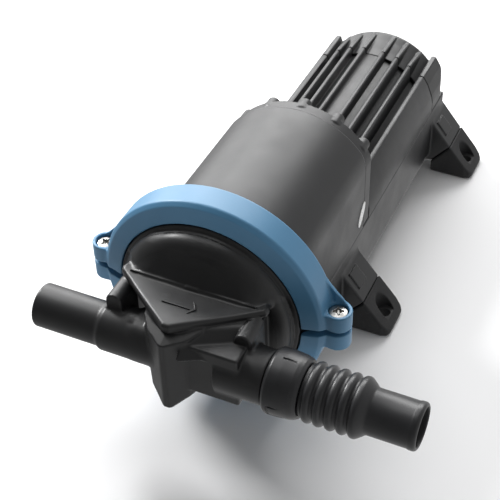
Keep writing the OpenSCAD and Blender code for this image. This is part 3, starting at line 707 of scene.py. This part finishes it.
def case_field(x, y, z):
    """Drum with flat flanks, its rim under the clamp, the tub and four legs, hollow inside."""
    far = np.abs(x)
    r = np.hypot(x, z - CASE_Z)
    rim = flat(np.hypot(x, z), y, CASE_RIM)
    drum = meet(meet(r - 40.2, far - 34.2 - 6.5 * (1 - bend(y, 3, 15)), 2.6), slab(y, 3, 84.3), 0.6)
    tub = meet(meet(tub_shape(far, z, 0), z - SEAM_Z, 0.5), slab(y, 14, REAR_Y), 1.2)
    d = join(drum, tub, 0.3)
    near = np.minimum(np.abs(y - LEG_Y[0]), np.abs(y - LEG_Y[1]))
    leg = meet(flat(far, z, LEG), near - 10.5, 0.9)
    a, b = far - LEG_TOP[0], z - LEG_TOP[1]
    u, n = a * math.cos(LEAN) - b * math.sin(LEAN), a * math.sin(LEAN) + b * math.cos(LEAN)
    shift = np.where(y < 130, y - LEG_Y[0], y - LEG_Y[1])
    pad = block(u, shift, n, (5.6, -6.8, -1), (14.6, 2.0, 0.6), 0.35)
    leg = np.minimum(leg, pad)
    d = join(d, leg, 1.1)
    d = join(d, rim, 0.6)
    inner = meet(meet(r - 37.2, far - 31.2, 1), slab(y, 6, 90), 0.5)
    hollow = meet(tub_shape(far, z, 2.4), slab(y, 17, REAR_Y - 2.6), 0.5)
    over = block(x, y, z, (-31.2, 86, SEAM_Z - 3), (31.2, REAR_Y - 2.6, 10), 0.5)
    hollow = np.minimum(np.minimum(inner, np.maximum(hollow, z - SEAM_Z)), over)
    hollow = np.minimum(hollow, rod(x, z, y, -1, 9, 31.4, 0.3))
    hollow = np.minimum(hollow, rod(x + 14, z + 42, y, REAR_Y - 4, REAR_Y + 3, 6, 0.2))
    return cut(d, hollow, 0.4)


solid("housing_shell", case_field, (-46, 1, -56), (46, 208, 44), 0.85, "housing", "case", ["chassis"])


BOOT_TOP = LEG_TOP[1] - LEG_SLOPE * (45.2 - LEG_TOP[0])
BOOT_TOE = LEG_TOP[0] + (LEG_TOP[1] - FLOOR_Z) / LEG_SLOPE
BOOT_SIDE = softened(
    [(45.5, BOOT_TOP), (BOOT_TOE - 1.9, -56.9), (BOOT_TOE - 1.3, -58), (BOOT_TOE - 1.5, -59.1),
     (BOOT_TOE - 2.4, -60), (36.4, -60), (35.5, -59.1), (35.5, -53.7)],
    [0.6, 0.8, 0.8, 0.5, 0.4, 0.5, 0.5, 0.8], 3)
BOOT_PLAN = softened(
    [(30, -10.9), (54.5, -10.9), (57.4, -9.9), (59.2, -7.6), (59.6, -5), (59.6, 5), (59.2, 7.6),
     (57.4, 9.9), (54.5, 10.9), (30, 10.9)], [0, 2, 2, 2, 2, 2, 2, 2, 2, 0], 3)
FOOT_HOLE_X = 52.5


def boot_field(x, y, z):
    """One boot, cut off along the leg's slope, with a counterbored screw hole."""
    d = meet(flat(x, z, BOOT_SIDE), flat(x, y, BOOT_PLAN), 1.0)
    r = np.hypot(x - FOOT_HOLE_X, y)
    d = cut(d, r - 2.6, 0.3)
    return cut(d, meet(r - 4.8, -54.5 - z, 0.2), 0.5)


boot_points, boot_normals, boot_faces = net(boot_field, (35, -11, -60), (60, 11, -41), 0.5)
for end, y in zip(("front", "rear"), LEG_Y):
    for hand, sign in (("right", 1), ("left", -1)):
        name = end + "_" + hand
        flip = np.array([sign, 1, 1])
        piece("rubber_boot_" + name, boot_points * flip + np.array([0, y, 0]), boot_faces[:, ::sign],
              "housing", "boot", ["foot_" + name], boot_normals * flip)

FIN_X, FIN_TOP, FIN_W = (5.3, 12.8, 19.7), (10.1, 8.5, 5.1), 2.4
CREST_R, TROUGH_R, COVER_BORE = 31.0, 29.7, 28.8
COVER_Y, END_Y = 91.7, 186.3
SIDE = [(24.0, -5.2), (25.7, 0.1), (26.3, 0.45), (27.9, 0.35), (28.6, -0.3), (31.0, -4.2), (33.4, -10.4),
        (34.2, -14.5), (34.2, -19.85)]


def drop(x, r=CREST_R):
    """Height of a circle of radius r about the motor's axis, at x from its middle."""
    return MOTOR_Z + math.sqrt(r * r - x * x)


def cover_outline():
    """The finned arch and its upright sides: three fins in each half, then the bore underneath."""
    half = [(0.0, drop(0)), (2.0, drop(2.0))]
    for x, top in zip(FIN_X, FIN_TOP):
        a, b = x - FIN_W / 2, x + FIN_W / 2
        near = CREST_R if x == FIN_X[0] else TROUGH_R
        half += [(a - 0.35, drop(a - 0.35, near)), (a - 0.08, drop(a, near) + 0.3), (a + 0.02, top - 0.9),
                 (a + 0.3, top - 0.28), (a + 0.85, top), (b - 0.85, top), (b - 0.3, top - 0.28),
                 (b - 0.02, top - 0.9), (b + 0.08, drop(b, TROUGH_R) + 0.3)]
        half += [(b + k, drop(b + k, TROUGH_R)) for k in (0.35, 1.55, 2.75)]
    half = half[:-3] + [(21.05, -3.4), (22.4, -4.7), (23.8, -5.8)] + SIDE
    turns = [math.radians(t) for t in np.linspace(8.3, 171.7, 40)]
    under = [(COVER_BORE * math.cos(t), MOTOR_Z + COVER_BORE * math.sin(t)) for t in turns]
    return half + under + [(-x, z) for x, z in half[:0:-1]]


prism("motor_cover", cover_outline(), COVER_Y, 186.0, 0.45, "housing", "case", ["motor_shroud"])

END_SHELL = [(0, END_Y), (31, END_Y), (31.3, 192), (32.2, 200), (33, 205.0), (32.8, 206.2), (32.2, 207.0),
             (31.4, REAR_Y), (0, REAR_Y)]
END_TRIM = [(20, END_Y), (34.3, END_Y), (34.2, 197), (33.9, 200), (33.0, 203.5), (31.6, REAR_Y), (20, REAR_Y)]


def end_field(x, y, z):
    """Cap that closes the cover, with the fins running down to its rear edge and two screw holes."""
    far = np.abs(x)
    r = np.hypot(x, z - MOTOR_Z)
    shell = flat(r, y, END_SHELL)
    side = meet(flat(far, z, SIDE + [(22, -19.85), (22, -5.2)]), slab(y, END_Y, REAR_Y), 0.5)
    d = join(shell, meet(side, flat(far, y, END_TRIM), 0.6), 0.5)
    for fx, top in zip(FIN_X, FIN_TOP):
        end = drop(fx, 33) - 0.1
        line = [top, top - 0.2, 0.7 * top + 0.3 * end - 0.2, 0.35 * top + 0.65 * end, end]
        roof = z - np.interp(y, [END_Y, 190, 196, 201, 205.5], line)
        fin = meet(meet(np.abs(far - fx) - FIN_W / 2, roof, 0.8), slab(y, END_Y, 206), 0.4)
        d = join(d, meet(fin, -4 - z, 0.1), 0.35)
    d = meet(d, SEAM_Z + 0.15 - z, 0.3)
    d = cut(d, rod(x, z - MOTOR_Z, y, 180, REAR_Y - 2.6, COVER_BORE, 0.3))
    return cut(d, np.hypot(far - 21, z + 12) - 1.8, 0.2)


solid("motor_cover_end", end_field, (-35, 186, -20.5), (35, 208, 11), 0.5, "housing", "case", ["motor_end_cap"])


def plate_field(x, y, z):
    """Plate behind the drum, with five round tabs along its top and a bore for the motor's nose."""
    far = np.abs(x)
    r = np.hypot(x, z - CASE_Z)
    d = meet(meet(r - 38.8, far - 33.9, 1.2), slab(y, 84.45, 91.5), 0.4)
    d = meet(d, SEAM_Z + 0.15 - z, 0.3)
    lower = block(x, y, z, (-29, 85, -51.3), (29, 91.2, -17.9), 0.5)
    d = np.minimum(d, lower)
    for a in (38, 64, 90, 116, 142):
        cx, cz = 36.2 * math.cos(math.radians(a)), CASE_Z + 36.2 * math.sin(math.radians(a))
        d = join(d, rod(x - cx, z - cz, y, 88, 95.5, 3.1, 0.9), 0.6)
    return cut(d, np.hypot(x, z - MOTOR_Z) - 9.52, 0.3)


solid("gearbox_back_plate", plate_field, (-35, 84, -52), (35, 96, 39), 0.6, "housing", "case",
      ["gearbox_plate"])

GLAND = softened(
    [(2.6, 203.7), (7.4, 203.7), (7.4, 204.55), (5.85, 204.55), (5.85, 207.45), (7.4, 207.45), (7.4, 208.7),
     (5.4, 212.7), (2.6, 212.7)], [0.2, 0.3, 0.2, 0, 0, 0.3, 0.5, 0.8, 0.4], 3)
turned("cable_gland_seal", GLAND, (-14, 0, -42), "y", "housing", "nitrile", ["cable_gland"], 48)

look_over_cad()


# Stage, light and camera -----------------------------------------------------


def floor():
    """A wide floor that curves up far behind the pump."""
    n = 60
    flat_share, rise = 0.7, 900
    rows = []
    for t in np.arange(n) / (n - 1):
        if t < flat_share:
            rows.append((-3000 + t / flat_share * 6000, 0))
        else:
            turn = (t - flat_share) / (1 - flat_share) * 1.57
            rows.append((3000 + rise * math.sin(turn), rise * (1 - math.cos(turn))))
    verts = [(x, y, z) for y, z in rows for x in np.linspace(-4000, 4000, n)]
    faces = [(j * n + i, j * n + i + 1, (j + 1) * n + i + 1, (j + 1) * n + i)
             for j in range(n - 1) for i in range(n - 1)]
    mesh = bpy.data.meshes.new("pale_floor")
    mesh.from_pydata((np.array(verts) / 1000).tolist(), [], faces)
    mesh.polygons.foreach_set("use_smooth", [True] * len(mesh.polygons))
    t = Tree("pale_floor_paint")
    t.set(Specular_IOR_Level=0.1, Roughness=0.9)
    t.finish(t.ramp(t.noise(3, 3), [(0.3, (0.86, 0.86, 0.865)), (0.7, (0.88, 0.88, 0.885))]))
    mesh.materials.append(t.mat)
    obj = bpy.data.objects.new("pale_floor", mesh)
    obj.visible_glossy = False
    bpy.context.scene.collection.objects.link(obj)


def lamp(name, place, aim, size, power):
    data = bpy.data.lights.new(name, "AREA")
    data.shape = "RECTANGLE"
    data.size, data.size_y = size
    data.energy = power
    obj = bpy.data.objects.new(name, data)
    obj.location = place
    obj.rotation_mode = "QUATERNION"
    obj.rotation_quaternion = (Vector(aim) - Vector(place)).to_track_quat("-Z", "Y")
    bpy.context.scene.collection.objects.link(obj)


def studio():
    """A dim room, brighter low behind and to the right, with three softboxes and a small key at the left."""
    world = bpy.data.worlds.new("studio")
    world.use_nodes = True
    tree = world.node_tree
    way = tree.nodes.new("ShaderNodeTexCoord").outputs["Generated"]
    dot = tree.nodes.new("ShaderNodeVectorMath")
    dot.operation = "DOT_PRODUCT"
    dot.inputs[1].default_value = (0.5, 0.6, -0.5)
    tree.links.new(way, dot.inputs[0])
    span = tree.nodes.new("ShaderNodeMapRange")
    for key, value in zip(("From Min", "From Max", "To Min", "To Max"), (-0.9, 0.95, 0.1, 0.88)):
        span.inputs[key].default_value = value
    tree.links.new(dot.outputs["Value"], span.inputs["Value"])
    tree.nodes["Background"].inputs["Color"].default_value = (1, 1, 1, 1)
    tree.links.new(span.outputs["Result"], tree.nodes["Background"].inputs["Strength"])
    bpy.context.scene.world = world
    lamp("softbox_behind", (-0.4, 1.25, 1.05), (0, 0, 0.05), (1.5, 0.8), 31)
    lamp("softbox_above", (-0.3, 0.2, 1.45), (0, 0, 0.05), (0.9, 0.7), 4.5)
    lamp("softbox_low_left", (-1.5, 1.3, 0.4), (0, 0, 0.05), (1.5, 0.9), 13)
    lamp("key_left", (-1.0, 0.3, 0.8), (0, 0.02, 0.05), (0.3, 0.3), 19)


def camera():
    data = bpy.data.cameras.new("view")
    data.sensor_width = 36
    data.lens = 87.33
    data.shift_x, data.shift_y = 0.002, 0.0006
    data.clip_start, data.clip_end = 0.05, 20
    obj = bpy.data.objects.new("view", data)
    right = (0.90809, 0.41819, -0.02244)
    up = (-0.26267, 0.61046, 0.74723)
    back = (0.32619, -0.67266, 0.66419)
    turn = Matrix((right, up, back)).transposed().to_4x4()
    turn.translation = (0.17498, -0.46403, 0.41366)
    obj.matrix_world = turn
    bpy.context.scene.collection.objects.link(obj)
    bpy.context.scene.camera = obj


floor()
studio()
camera()
bpy.context.scene.view_settings.view_transform = "Standard"
